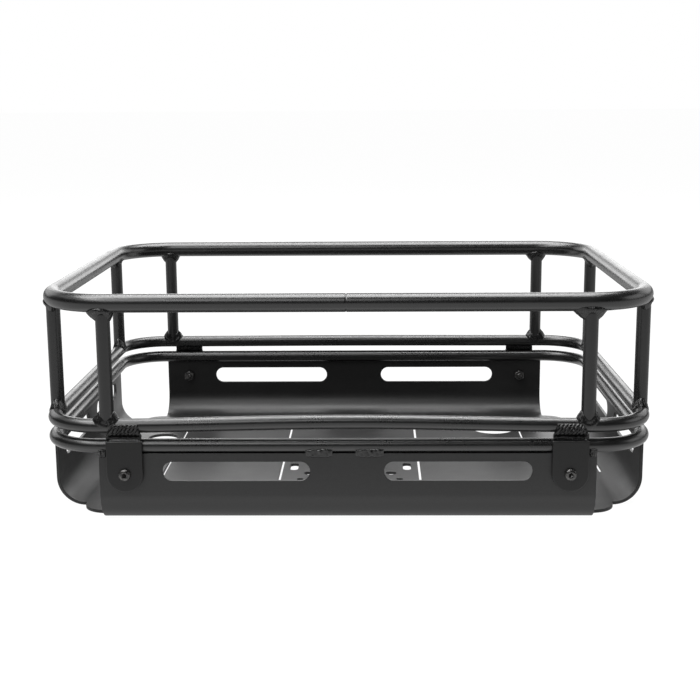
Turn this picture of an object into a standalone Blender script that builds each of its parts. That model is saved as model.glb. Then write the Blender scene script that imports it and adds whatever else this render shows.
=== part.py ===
"""Cargo basket: a folded sheet tray with a welded tube fence bolted onto it.

Metres, +Z up. X runs along the basket, the front is at -Y, and the origin is the
middle of the tray's underside. The fence is three closed rings of round tube joined
by upright posts. Four tabs hang from the middle ring and are bolted to the tray.
"""

import math

import bmesh
import bpy
from mathutils import Vector
from mathutils.geometry import delaunay_2d_cdt

# Clear distance kept between neighbouring pieces, where the real ones are welded.
GAP = 0.0003

# Fence: rings of tube, given by their centrelines.
TUBE_R = 0.00625
TOP_TUBE_R = 0.008
FENCE_HALF_X = 0.262
FENCE_HALF_Y = 0.194
TOP_RAIL_Z = 0.194
MID_RAIL_Z = 0.0868
RIM_RAIL_Z = 0.0691
TOP_CORNER_R = 0.058
LOW_CORNER_R = 0.046
FRONT_CROWN = 0.0031
BACK_CROWN = 0.0004
POST_X = {"front": 0.2073, "back": 0.2092}
POST_Y = 0.143

# Tray: one sheet blank with four folded flanges and open corners.
SHEET = 0.003
TRAY_HALF_X = 0.2656
TRAY_HALF_Y = 0.1993
BEND_OUTER_R = 0.026
FLANGE_TOP_Z = RIM_RAIL_Z - TUBE_R - GAP
LONG_FLANGE_HALF = {"front": 0.215, "back": 0.2167}
SHORT_FLANGE_HALF = 0.147
FLOOR_CORNER_R = 0.022
FLOOR_CORNER_STEP = 0.002

# Long round-ended slots in the flanges.
SLOT_HEIGHT = 0.017
LONG_SLOT_Z = {"front": 0.0473, "back": 0.0463}
LONG_SLOT = {"front": (0.032, 0.160), "back": (0.0315, 0.1608)}
SHORT_SLOT_Z = 0.0473
SHORT_SLOT = (0.018, 0.118)

# Cut-outs in the floor.
SLIT_WIDTH = 0.0024
MIDDLE_SLIT_X = 0.068
OUTER_SLIT_X = 0.183
END_SLIT_X = 0.245
SLIT_HALF_LENGTH = 0.150
END_SLIT_SPAN = (-0.055, -0.016)
STRAP_SLOT = (0.008, 0.023)
STRAP_SLOT_AT = (0.056, -0.0345)
SMALL_HOLE_D = 0.0065
SMALL_HOLE_AT = (0.048, -0.077)
MIDDLE_HOLE_D = 0.0105
MIDDLE_HOLE_AT = (0.040, -0.057)
LEFT_HOLE_D = 0.031
LEFT_HOLE_AT = (-0.205, 0.077)
RIGHT_HOLE_D = 0.046
RIGHT_HOLE_AT = (0.155, 0.114)

# Bolting tabs.
TAB_X = 0.192
TAB_WIDTH = 0.0315
TAB_NECK_WIDTH = 0.0300
TAB_SHOULDER_Z = 0.0750
TAB_TOP_RUN = 0.0830
TAB_BEND_R = 0.012
TAB_LEAN = math.radians(13.0)
BOLT_Z = 0.0456
BOLT_HOLE_D = 0.0066

# M6 button-head screw and its nut.
SCREW_D = 0.0054
SCREW_LENGTH = 0.0145
SCREW_END_CHAMFER = 0.0006
HEAD_D = 0.0107
HEAD_HEIGHT = 0.0033
HEAD_RIM = 0.0009
HEAD_FLAT_D = 0.0054
SOCKET_FLATS = 0.004
SOCKET_DEPTH = 0.002
NUT_FLATS = 0.010
NUT_HEIGHT = 0.005
NUT_BORE_D = 0.006

# Fineness of the round shapes.
TUBE_BEVEL_RESOLUTION = 6
CORNER_STEPS = 8
CROWN_STEPS = 8
BEND_STEPS = 6
HOLE_STEPS = 16
TAB_BEND_STEPS = 3
DOME_STEPS = 4
SCREW_STEPS = 24
POST_STEPS = 16
SHARP_ANGLE = math.radians(35.0)
MERGE_DISTANCE = 1e-6
CUT_TOLERANCE = 1e-8

QUARTER = math.pi / 2
ENDS = {"front": -1, "back": 1}
SIDES = {"left": -1, "right": 1}


def clear_scene():
    for obj in list(bpy.data.objects):
        bpy.data.objects.remove(obj)


def coating(name, colour, roughness, metallic):
    material = bpy.data.materials.new(name)
    material.use_nodes = True
    shader = material.node_tree.nodes["Principled BSDF"]
    shader.inputs["Base Color"].default_value = (*colour, 1.0)
    shader.inputs["Roughness"].default_value = roughness
    shader.inputs["Metallic"].default_value = metallic
    return material


def add_object(name, data, material, parent=None):
    obj = bpy.data.objects.new(name, data)
    bpy.context.scene.collection.objects.link(obj)
    if material is not None and not data.materials:
        data.materials.append(material)
    obj.parent = parent
    return obj


def mesh_from(name, bm):
    bmesh.ops.recalc_face_normals(bm, faces=bm.faces)
    mesh = bpy.data.meshes.new(name)
    bm.to_mesh(mesh)
    bm.free()
    mesh.shade_smooth()
    mesh.set_sharp_from_angle(angle=SHARP_ANGLE)
    return mesh


# --- flat outlines -------------------------------------------------------------------


def arc(centre, radius, start, end, steps):
    """Points on an arc, both ends included. Angles are in radians, anticlockwise."""
    angles = [start + (end - start) * i / steps for i in range(steps + 1)]
    return [(centre[0] + radius * math.cos(a), centre[1] + radius * math.sin(a)) for a in angles]


def circle(centre, diameter):
    return arc(centre, diameter / 2, 0, 2 * math.pi, HOLE_STEPS)[:-1]


def slot(centre, length, width, along_x=True):
    """A round-ended slot. Its length runs along X, or along Y."""
    reach = (length - width) / 2
    if along_x:
        right = arc((centre[0] + reach, centre[1]), width / 2, -QUARTER, QUARTER, HOLE_STEPS // 2)
        left = arc((centre[0] - reach, centre[1]), width / 2, QUARTER, 3 * QUARTER, HOLE_STEPS // 2)
        return right + left
    top = arc((centre[0], centre[1] + reach), width / 2, 0, 2 * QUARTER, HOLE_STEPS // 2)
    bottom = arc((centre[0], centre[1] - reach), width / 2, 2 * QUARTER, 4 * QUARTER, HOLE_STEPS // 2)
    return top + bottom


def inside(loop, point):
    """Whether a closed loop of points holds the point."""
    x, y = point
    crossings = 0
    for (ax, ay), (bx, by) in zip(loop, loop[1:] + loop[:1]):
        if (ay > y) != (by > y) and x < ax + (y - ay) * (bx - ax) / (by - ay):
            crossings += 1
    return crossings % 2 == 1


# --- folded sheet --------------------------------------------------------------------


def fold(distance, flat, radius, angle):
    """Where a point of the flat blank goes: how far it lies from the middle after the
    fold, and how far it has risen. The blank is flat up to the distance flat, then
    turns through angle round radius, and runs straight on."""
    run = abs(distance) - flat
    if run <= 0:
        return distance, 0.0
    turn = min(run / radius, angle)
    beyond = max(run - radius * angle, 0.0)
    out = flat + radius * math.sin(turn) + beyond * math.cos(turn)
    rise = radius * (1 - math.cos(turn)) + beyond * math.sin(turn)
    return math.copysign(out, distance), rise


def blank_mesh(name, outline, holes, fold_lines, place):
    """The middle surface of a folded sheet: the blank is cut into triangles between its
    outline, its holes and its fold lines, and place says where each point goes."""
    loops = [outline] + holes
    points = []
    edges = []
    for loop in loops:
        first = len(points)
        points += [Vector(p) for p in loop]
        edges += [(first + i, first + (i + 1) % len(loop)) for i in range(len(loop))]
    for start, end in fold_lines:
        edges.append((len(points), len(points) + 1))
        points += [Vector(start), Vector(end)]
    spots, _, triangles, *_ = delaunay_2d_cdt(points, edges, [], 0, CUT_TOLERANCE)
    bm = bmesh.new()
    verts = [bm.verts.new(place(p.x, p.y)) for p in spots]
    for triangle in triangles:
        middle = sum((spots[i] for i in triangle), Vector((0, 0))) / 3
        if inside(outline, middle) and not any(inside(hole, middle) for hole in holes):
            bm.faces.new([verts[i] for i in triangle])
    bmesh.ops.delete(bm, geom=[v for v in bm.verts if not v.link_faces], context="VERTS")
    return mesh_from(name, bm)


def thicken(obj, thickness):
    modifier = obj.modifiers.new("Solidify", "SOLIDIFY")
    modifier.thickness = thickness
    modifier.offset = 0
    modifier.use_even_offset = True


# --- tray ----------------------------------------------------------------------------

BEND_R = BEND_OUTER_R - SHEET / 2
BEND_RUN = BEND_R * QUARTER
FLAT_HALF_X = TRAY_HALF_X - BEND_OUTER_R
FLAT_HALF_Y = TRAY_HALF_Y - BEND_OUTER_R


def blank_reach(flat_half, height):
    """How far out on the blank the point lies that ends up at this height on a flange."""
    return flat_half + BEND_RUN + height - BEND_OUTER_R


def end_outline(end):
    """Half of the blank's outline, from the left flange round the front or back to the
    right flange, drawn as if it lay at +Y."""
    far_x = blank_reach(FLAT_HALF_X, FLANGE_TOP_Z)
    far_y = blank_reach(FLAT_HALF_Y, FLANGE_TOP_Z)
    long_half = LONG_FLANGE_HALF[end]
    centre = (long_half + FLOOR_CORNER_STEP, SHORT_FLANGE_HALF + FLOOR_CORNER_STEP)
    shoulder = [(far_x, SHORT_FLANGE_HALF), (centre[0] + FLOOR_CORNER_R, SHORT_FLANGE_HALF)]
    rounded = arc(centre, FLOOR_CORNER_R, 0, QUARTER, CORNER_STEPS)
    flange_end = [(long_half, centre[1] + FLOOR_CORNER_R), (long_half, far_y)]
    quarter = shoulder + rounded + flange_end
    return quarter + [(-x, y) for x, y in reversed(quarter)]


def tray_outline():
    return end_outline("back") + [(-x, -y) for x, y in end_outline("front")]


def flange_slots():
    """Two round-ended slots in each of the four flanges."""
    loops = []
    short_length = SHORT_SLOT[1] - SHORT_SLOT[0]
    for side in SIDES.values():
        for end, sy in ENDS.items():
            near, far = LONG_SLOT[end]
            across_y = sy * blank_reach(FLAT_HALF_Y, LONG_SLOT_Z[end])
            loops.append(slot((side * (near + far) / 2, across_y), far - near, SLOT_HEIGHT))
            across_x = side * blank_reach(FLAT_HALF_X, SHORT_SLOT_Z)
            middle = sy * sum(SHORT_SLOT) / 2
            loops.append(slot((across_x, middle), short_length, SLOT_HEIGHT, along_x=False))
    return loops


def floor_cutouts():
    loops = [circle(LEFT_HOLE_AT, LEFT_HOLE_D), circle(RIGHT_HOLE_AT, RIGHT_HOLE_D)]
    end_middle = sum(END_SLIT_SPAN) / 2
    end_length = END_SLIT_SPAN[1] - END_SLIT_SPAN[0]
    for side in (-1, 1):
        for x in (MIDDLE_SLIT_X, OUTER_SLIT_X):
            loops.append(slot((side * x, 0), 2 * SLIT_HALF_LENGTH, SLIT_WIDTH, along_x=False))
        loops.append(slot((side * END_SLIT_X, end_middle), end_length, SLIT_WIDTH, along_x=False))
        strap_at = (side * STRAP_SLOT_AT[0], STRAP_SLOT_AT[1])
        loops.append(slot(strap_at, STRAP_SLOT[1], STRAP_SLOT[0], along_x=False))
        loops.append(circle((side * SMALL_HOLE_AT[0], SMALL_HOLE_AT[1]), SMALL_HOLE_D))
        loops.append(circle((side * MIDDLE_HOLE_AT[0], MIDDLE_HOLE_AT[1]), MIDDLE_HOLE_D))
    return loops


def bolt_holes():
    reach = blank_reach(FLAT_HALF_Y, BOLT_Z)
    return [circle((side * TAB_X, end * reach), BOLT_HOLE_D) for side in (-1, 1) for end in (-1, 1)]


def tray_fold_lines():
    lines = []
    overrun = FLOOR_CORNER_STEP
    for step in range(BEND_STEPS + 1):
        run = BEND_RUN * step / BEND_STEPS
        for side in (-1, 1):
            y = side * (FLAT_HALF_Y + run)
            reach = max(LONG_FLANGE_HALF.values()) + overrun
            lines.append(((-reach, y), (reach, y)))
            x = side * (FLAT_HALF_X + run)
            reach = SHORT_FLANGE_HALF + overrun
            lines.append(((x, -reach), (x, reach)))
    return lines


def place_on_tray(u, v):
    x, rise_x = fold(u, FLAT_HALF_X, BEND_R, QUARTER)
    y, rise_y = fold(v, FLAT_HALF_Y, BEND_R, QUARTER)
    return x, y, SHEET / 2 + rise_x + rise_y


def add_tray(material):
    holes = flange_slots() + floor_cutouts() + bolt_holes()
    mesh = blank_mesh("tray_sheet", tray_outline(), holes, tray_fold_lines(), place_on_tray)
    tray = add_object("tray_sheet", mesh, material)
    thicken(tray, SHEET)
    return tray


# --- fence ---------------------------------------------------------------------------


def crown_rise(x, y, corner_r, crowns):
    """Height added to a ring whose front and back runs rise towards their middle."""
    half = FENCE_HALF_X - corner_r
    crown = crowns[0] if y < 0 else crowns[1]
    if abs(x) >= half or abs(y) < FENCE_HALF_Y - corner_r:
        return 0.0
    return crown * (1 + math.cos(math.pi * x / half)) / 2


def ring_points(z, corner_r, crowns):
    """The centreline of a ring: a rectangle with round corners, anticlockwise."""
    straight_x = FENCE_HALF_X - corner_r
    straight_y = FENCE_HALF_Y - corner_r
    steps = CROWN_STEPS if any(crowns) else 1
    flat = []
    for quarter, (sx, sy) in enumerate([(1, 1), (-1, 1), (-1, -1), (1, -1)]):
        centre = (sx * straight_x, sy * straight_y)
        start = quarter * QUARTER
        flat += arc(centre, corner_r, start, start + QUARTER, CORNER_STEPS)
        if quarter % 2 == 0:
            y = sy * FENCE_HALF_Y
            flat += [(sx * straight_x * (1 - 2 * i / steps), y) for i in range(1, steps)]
    return [Vector((x, y, z + crown_rise(x, y, corner_r, crowns))) for x, y in flat]


def ring_curve(name, z, radius, corner_r, crowns):
    curve = bpy.data.curves.new(name, "CURVE")
    curve.dimensions = "3D"
    curve.bevel_depth = radius
    curve.bevel_resolution = TUBE_BEVEL_RESOLUTION
    spline = curve.splines.new("POLY")
    points = ring_points(z, corner_r, crowns)
    spline.points.add(len(points) - 1)
    for spot, point in zip(spline.points, points):
        spot.co = (*point, 1.0)
    spline.use_cyclic_u = True
    spline.use_smooth = True
    return curve


def add_ring(name, z, radius, corner_r, material, crowns=(0.0, 0.0)):
    return add_object(name, ring_curve(name, z, radius, corner_r, crowns), material)


def add_clearance(rail, corner_r, z, radius, crowns=(0.0, 0.0)):
    """A hidden ring one gap fatter than the rail, which copes the ends of the posts."""
    curve = ring_curve(rail.name + "_guide", z, radius + GAP, corner_r, crowns)
    guide = add_object(rail.name + "_guide", curve, None)
    bpy.context.view_layer.update()
    evaluated = guide.evaluated_get(bpy.context.evaluated_depsgraph_get())
    mesh = bpy.data.meshes.new_from_object(evaluated)
    bpy.data.objects.remove(guide)
    cutter = add_object(rail.name + "_clearance", mesh, None)
    cutter.hide_render = True
    cutter.display_type = "WIRE"
    return cutter


def post_mesh():
    bm = bmesh.new()
    height = TOP_RAIL_Z - MID_RAIL_Z
    bmesh.ops.create_cone(
        bm,
        cap_ends=True,
        segments=POST_STEPS,
        radius1=TUBE_R,
        radius2=TUBE_R,
        depth=height,
    )
    return mesh_from("post", bm)


def add_posts(material, cutters):
    """Eight upright tubes, two on each side of the basket, coped to the rails they join."""
    mesh = post_mesh()
    middle_z = (TOP_RAIL_Z + MID_RAIL_Z) / 2
    places = {}
    for end, sy in ENDS.items():
        for side, sx in SIDES.items():
            places[f"post_{end}_{side}"] = (sx * POST_X[end], sy * FENCE_HALF_Y)
            places[f"post_{side}_{end}"] = (sx * FENCE_HALF_X, sy * POST_Y)
    for name, (x, y) in places.items():
        post = add_object(name, mesh, material)
        post.location = (x, y, middle_z)
        for cutter in cutters:
            cope = post.modifiers.new("Cope", "BOOLEAN")
            cope.operation = "DIFFERENCE"
            cope.object = cutter


# --- tabs and fasteners --------------------------------------------------------------

TAB_INNER_Y = FENCE_HALF_Y + TUBE_R + GAP
TAB_MIDDLE_Y = TAB_INNER_Y + SHEET / 2
HEAD_SEAT_Y = TAB_INNER_Y + SHEET + GAP
NUT_MIDDLE_Y = TRAY_HALF_Y - SHEET - GAP - NUT_HEIGHT / 2


def place_on_tab(u, v):
    height, lean = fold(v, TAB_SHOULDER_Z, TAB_BEND_R, TAB_LEAN)
    return u, height, -lean


def tab_mesh():
    """A strip that hangs from the mid rail: round at the bolt, leaning in at the top."""
    half = TAB_WIDTH / 2
    neck = TAB_NECK_WIDTH / 2
    outline = arc((0, BOLT_Z), half, 2 * QUARTER, 4 * QUARTER, HOLE_STEPS)
    outline += [(half, TAB_SHOULDER_Z), (neck, TAB_TOP_RUN)]
    outline += [(-neck, TAB_TOP_RUN), (-half, TAB_SHOULDER_Z)]
    bend_run = TAB_BEND_R * TAB_LEAN
    lines = []
    for step in range(TAB_BEND_STEPS + 1):
        v = TAB_SHOULDER_Z + bend_run * step / TAB_BEND_STEPS
        lines.append(((-TAB_WIDTH, v), (TAB_WIDTH, v)))
    hole = circle((0, BOLT_Z), BOLT_HOLE_D)
    return blank_mesh("tab", outline, [hole], lines, place_on_tab)


def screw_profile():
    """Half of the screw's section, from the top of the head round to the shank's end."""
    dome = [(HEAD_FLAT_D / 2, HEAD_HEIGHT)]
    rise = HEAD_HEIGHT - HEAD_RIM
    span = (HEAD_D - HEAD_FLAT_D) / 2
    for step in range(1, DOME_STEPS + 1):
        angle = QUARTER * (1 - step / DOME_STEPS)
        dome.append((HEAD_FLAT_D / 2 + span * math.cos(angle), HEAD_RIM + rise * math.sin(angle)))
    shank = SCREW_D / 2
    tip = shank - SCREW_END_CHAMFER
    low = [(HEAD_D / 2, 0), (shank, 0), (shank, SCREW_END_CHAMFER - SCREW_LENGTH)]
    return [(0, HEAD_HEIGHT)] + dome + low + [(tip, -SCREW_LENGTH), (0, -SCREW_LENGTH)]


def screw_mesh():
    bm = bmesh.new()
    verts = [bm.verts.new((r, 0, z)) for r, z in screw_profile()]
    edges = [bm.edges.new(pair) for pair in zip(verts, verts[1:])]
    bmesh.ops.spin(
        bm,
        geom=verts + edges,
        cent=(0, 0, 0),
        axis=(0, 0, 1),
        angle=2 * math.pi,
        steps=SCREW_STEPS,
        use_merge=True,
    )
    bmesh.ops.remove_doubles(bm, verts=bm.verts, dist=MERGE_DISTANCE)
    return mesh_from("screw", bm)


def add_socket_cutter():
    """A hidden hexagonal plug that cuts the socket into every screw head."""
    bm = bmesh.new()
    corner_r = SOCKET_FLATS / math.sqrt(3)
    bmesh.ops.create_cone(
        bm,
        cap_ends=True,
        segments=6,
        radius1=corner_r,
        radius2=corner_r,
        depth=2 * SOCKET_DEPTH,
    )
    bmesh.ops.translate(bm, verts=bm.verts, vec=(0, 0, HEAD_HEIGHT))
    cutter = add_object("socket_cutter", mesh_from("socket_cutter", bm), None)
    cutter.hide_render = True
    cutter.display_type = "WIRE"
    return cutter


def socketed_screw_mesh():
    """The screw with its socket cut, as one mesh that all four screws share."""
    blank = add_object("screw_blank", screw_mesh(), None)
    cut = blank.modifiers.new("Socket", "BOOLEAN")
    cut.operation = "DIFFERENCE"
    cut.object = add_socket_cutter()
    bpy.context.view_layer.update()
    evaluated = blank.evaluated_get(bpy.context.evaluated_depsgraph_get())
    mesh = bpy.data.meshes.new_from_object(evaluated)
    bpy.data.objects.remove(cut.object)
    bpy.data.objects.remove(blank)
    mesh.name = "screw"
    return mesh


def nut_mesh():
    corner_r = NUT_FLATS / math.sqrt(3)
    hexagon = arc((0, 0), corner_r, 0, 2 * math.pi, 6)[:-1]
    bore = circle((0, 0), NUT_BORE_D)
    return blank_mesh("nut", hexagon, [bore], [], lambda u, v: (u, v, 0))


def add_bolted_tabs(tab_material, screw_material, nut_material):
    """Four tabs, each with its screw and nut. Each set hangs on a parent empty that
    stands at the tab's foot and faces outwards."""
    tab, screw, nut = tab_mesh(), socketed_screw_mesh(), nut_mesh()
    for end, sy in ENDS.items():
        for side, sx in SIDES.items():
            place = add_object(f"bolting_{end}_{side}", None, None)
            place.location = (sx * TAB_X, 0, 0)
            place.rotation_euler = (QUARTER, 0, 0 if sy < 0 else math.pi)
            strip = add_object(f"tab_{end}_{side}", tab, tab_material, place)
            strip.location = (0, 0, TAB_MIDDLE_Y)
            thicken(strip, SHEET)
            bolt = add_object(f"screw_{end}_{side}", screw, screw_material, place)
            bolt.location = (0, BOLT_Z, HEAD_SEAT_Y)
            hexagon = add_object(f"nut_{end}_{side}", nut, nut_material, place)
            hexagon.location = (0, BOLT_Z, NUT_MIDDLE_Y)
            thicken(hexagon, NUT_HEIGHT)


def main():
    clear_scene()
    tray_coat = coating("tray_coat", (0.022, 0.022, 0.023), 0.5, 0.0)
    rail_coat = coating("rail_coat", (0.018, 0.018, 0.019), 0.38, 0.0)
    post_coat = coating("post_coat", (0.018, 0.018, 0.019), 0.4, 0.0)
    tab_coat = coating("tab_coat", (0.020, 0.020, 0.021), 0.45, 0.0)
    screw_finish = coating("screw_finish", (0.03, 0.03, 0.032), 0.3, 0.6)
    nut_finish = coating("nut_finish", (0.05, 0.05, 0.052), 0.35, 0.6)

    add_tray(tray_coat)
    crowns = (FRONT_CROWN, BACK_CROWN)
    add_ring("rim_rail", RIM_RAIL_Z, TUBE_R, LOW_CORNER_R, rail_coat)
    mid_rail = add_ring("mid_rail", MID_RAIL_Z, TUBE_R, LOW_CORNER_R, rail_coat, crowns)
    top_rail = add_ring("top_rail", TOP_RAIL_Z, TOP_TUBE_R, TOP_CORNER_R, rail_coat)
    mid_clearance = add_clearance(mid_rail, LOW_CORNER_R, MID_RAIL_Z, TUBE_R, crowns)
    top_clearance = add_clearance(top_rail, TOP_CORNER_R, TOP_RAIL_Z, TOP_TUBE_R)
    add_posts(post_coat, [mid_clearance, top_clearance])
    add_bolted_tabs(tab_coat, screw_finish, nut_finish)


main()
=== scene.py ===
import math

import bpy
from mathutils import Matrix, Vector, noise
from mathutils.geometry import delaunay_2d_cdt


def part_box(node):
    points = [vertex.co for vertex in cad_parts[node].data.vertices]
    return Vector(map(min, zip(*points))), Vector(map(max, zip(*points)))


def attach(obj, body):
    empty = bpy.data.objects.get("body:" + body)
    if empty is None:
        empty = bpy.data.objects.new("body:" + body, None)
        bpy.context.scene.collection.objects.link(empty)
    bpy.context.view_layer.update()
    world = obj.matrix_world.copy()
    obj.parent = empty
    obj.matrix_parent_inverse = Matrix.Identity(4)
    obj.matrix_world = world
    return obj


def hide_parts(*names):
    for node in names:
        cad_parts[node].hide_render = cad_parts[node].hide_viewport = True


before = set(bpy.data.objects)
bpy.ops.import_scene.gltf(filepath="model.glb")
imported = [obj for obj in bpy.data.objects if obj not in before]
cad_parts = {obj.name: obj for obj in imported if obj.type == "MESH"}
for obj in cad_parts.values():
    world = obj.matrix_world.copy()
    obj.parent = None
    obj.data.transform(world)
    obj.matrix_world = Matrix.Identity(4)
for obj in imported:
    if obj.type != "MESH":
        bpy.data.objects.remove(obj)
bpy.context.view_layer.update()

# A roof cargo basket: a slotted tray of folded sheet, with a welded tube fence bolted to it.
# Every length is in metres, in the frame's own axes: X along the basket, front at -Y, Z up.

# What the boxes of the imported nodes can't tell.
SHEET = 0.003
TOP_CORNER_R = 0.058
LOW_CORNER_R = 0.046
BACK_CROWN = 0.0004
BEND_OUTER_R = 0.026
LONG_FLANGE_HALF = {"front": 0.215, "back": 0.2167}
SHORT_FLANGE_HALF = 0.147
# How much higher than its node the short and the long flanges' tops are drawn, so that they
# touch the rim rail.
SEATED = (0.0004, 0.0009)
FLOOR_CORNER_R = 0.022
FLOOR_CORNER_STEP = 0.002
SLOT_HEIGHT = 0.017
LONG_SLOT_Z = {"front": 0.0473, "back": 0.0463}
LONG_SLOT = {"front": (0.032, 0.160), "back": (0.0315, 0.1608)}
SHORT_SLOT_Z = 0.0473
SHORT_SLOT = (0.018, 0.118)
SLIT_WIDTH = 0.0024
SLIT_XS = (0.068, 0.183)
SLIT_HALF_LENGTH = 0.150
END_SLIT = (0.245, -0.0355, 0.039)
STRAP_SLOT = (0.056, -0.0345, 0.023, 0.008)
ROUND_HOLES = (
    (0.048, -0.077, 0.0065),
    (-0.048, -0.077, 0.0065),
    (0.040, -0.057, 0.0105),
    (-0.040, -0.057, 0.0105),
    (-0.205, 0.077, 0.031),
    (0.155, 0.114, 0.046),
)
BOLT_HOLE_D = 0.0066
TAB_SHOULDER_Z = 0.0750
SHANK_D = 0.0054
SOCKET_FLATS = 0.004
SOCKET_DEPTH = 0.002
NUT_BORE_D = 0.0055

# How far edges and corners are rounded.
EDGE_R = 0.0004
TAB_EDGE_R = 0.0011
CORNER_R = 0.0012

# Fineness.
TUBE_SIDES = 48
CORNER_STEPS = 28
BEND_STEPS = 18
HOLE_STEPS = 48
EDGE_STEPS = 4
CUT_TOLERANCE = 1e-6

QUARTER = math.pi / 2
UP = Vector((0, 0, 1))
ENDS = {"front": -1, "back": 1}
SIDES = {"left": -1, "right": 1}


# --- meshes --------------------------------------------------------------------------


class Shape:
    """Vertices and faces that are gathered up into one piece."""

    def __init__(self):
        self.points = []
        self.faces = []
        self.normals = []

    def add(self, points):
        first = len(self.points)
        self.points += [tuple(p) for p in points]
        return list(range(first, len(self.points)))

    def skin(self, sections, ring):
        """Quads between neighbouring closed sections. A ring joins the last section to the
        first, and anything else gets a fan at each end."""
        rows = [self.add(section) for section in sections]
        count = len(rows[0])
        pairs = list(zip(rows, rows[1:]))
        if ring:
            pairs.append((rows[-1], rows[0]))
        for near, far in pairs:
            for i in range(count):
                j = (i + 1) % count
                self.faces.append((near[i], near[j], far[j], far[i]))
        if not ring:
            for row, turned in ((rows[0], True), (rows[-1], False)):
                total = sum((Vector(self.points[i]) for i in row), Vector())
                middle = self.add([total / count])[0]
                for i in range(count):
                    a, b = row[i], row[(i + 1) % count]
                    self.faces.append((b, a, middle) if turned else (a, b, middle))

    def build(self, name, material, sharp_deg):
        mesh = bpy.data.meshes.new(name)
        mesh.from_pydata(self.points, [], self.faces)
        mesh.shade_smooth()
        if self.normals:
            mesh.normals_split_custom_set_from_vertices(self.normals)
        elif sharp_deg:
            mesh.set_sharp_from_angle(angle=math.radians(sharp_deg))
        mesh.materials.append(material)
        obj = bpy.data.objects.new(name, mesh)
        bpy.context.scene.collection.objects.link(obj)
        return obj


def piece(shape, name, material, slot, *nodes, sharp_deg=40.0):
    """Build the shape as one piece. Edges that turn by more than sharp_deg stay sharp, and it
    stands for the nodes, if any."""
    obj = shape.build(name, material, sharp_deg)
    if nodes:
        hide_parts(*nodes)
    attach(obj, "root")


# --- flat outlines -------------------------------------------------------------------


def arc(centre, radius, start, end, steps):
    angles = [start + (end - start) * i / steps for i in range(steps + 1)]
    return [(centre[0] + radius * math.cos(a), centre[1] + radius * math.sin(a)) for a in angles]


def circle(x, y, diameter):
    return arc((x, y), diameter / 2, 0, 2 * math.pi, HOLE_STEPS)[:-1]


def slot_loop(x, y, length, width, along_x):
    reach = (length - width) / 2
    half = HOLE_STEPS // 2
    if along_x:
        right = arc((x + reach, y), width / 2, -QUARTER, QUARTER, half)
        return right + arc((x - reach, y), width / 2, QUARTER, 3 * QUARTER, half)
    top = arc((x, y + reach), width / 2, 0, 2 * QUARTER, half)
    return top + arc((x, y - reach), width / 2, 2 * QUARTER, 4 * QUARTER, half)


def area(loop):
    return sum(a[0] * b[1] - b[0] * a[1] for a, b in zip(loop, loop[1:] + loop[:1])) / 2


def soften(loop, radius, least_turn=math.radians(50), steps=5):
    """The loop with an arc in place of each sharp corner."""
    made = []
    for before, at, after in zip(loop[-1:] + loop[:-1], loop, loop[1:] + loop[:1]):
        a = Vector(before) - Vector(at)
        b = Vector(after) - Vector(at)
        opening = a.angle(b)
        if math.pi - opening < least_turn:
            made.append(at)
            continue
        reach = radius / math.tan(opening / 2)
        inward = (a.normalized() + b.normalized()).normalized()
        centre = Vector(at) + inward * radius / math.sin(opening / 2)
        start = Vector(at) + a.normalized() * reach - centre
        end = Vector(at) + b.normalized() * reach - centre
        turn = start.angle_signed(end)
        for i in range(steps + 1):
            angle = -turn * i / steps
            spun = Matrix.Rotation(angle, 2) @ start
            made.append(tuple(centre + spun))
    return made


def outward(loop):
    """At each point of a loop with the metal on its left, the way out of the metal."""
    found = []
    for before, at, after in zip(loop[-1:] + loop[:-1], loop, loop[1:] + loop[:1]):
        a = (Vector(at) - Vector(before)).normalized()
        b = (Vector(after) - Vector(at)).normalized()
        normal = Vector((a.y + b.y, -a.x - b.x)).normalized()
        found.append((normal, 1 / max(normal.dot(Vector((a.y, -a.x))), 0.3)))
    return found


def rim_of(loop, us, vs, edge_r):
    """The loop's points, each with its way out of the metal, and one more wherever the flat
    face's edge crosses a fold line."""
    made = []
    stops = [(Vector(at), out * stretch) for at, (out, stretch) in zip(loop, outward(loop))]
    for (a, way_a), (b, way_b) in zip(stops, stops[1:] + stops[:1]):
        made.append((a, way_a))
        start, end = a - way_a * edge_r, b - way_b * edge_r
        shares = []
        for axis, values in ((0, us), (1, vs)):
            for value in values:
                if (start[axis] - value) * (end[axis] - value) < 0:
                    shares.append((value - start[axis]) / (end[axis] - start[axis]))
        made += [(a.lerp(b, share), way_a.lerp(way_b, share)) for share in sorted(shares)]
    return made


def inside(loop, x, y):
    hits = 0
    for (ax, ay), (bx, by) in zip(loop, loop[1:] + loop[:1]):
        if (ay > y) != (by > y) and x < ax + (y - ay) * (bx - ax) / (by - ay):
            hits += 1
    return hits % 2 == 1


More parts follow.
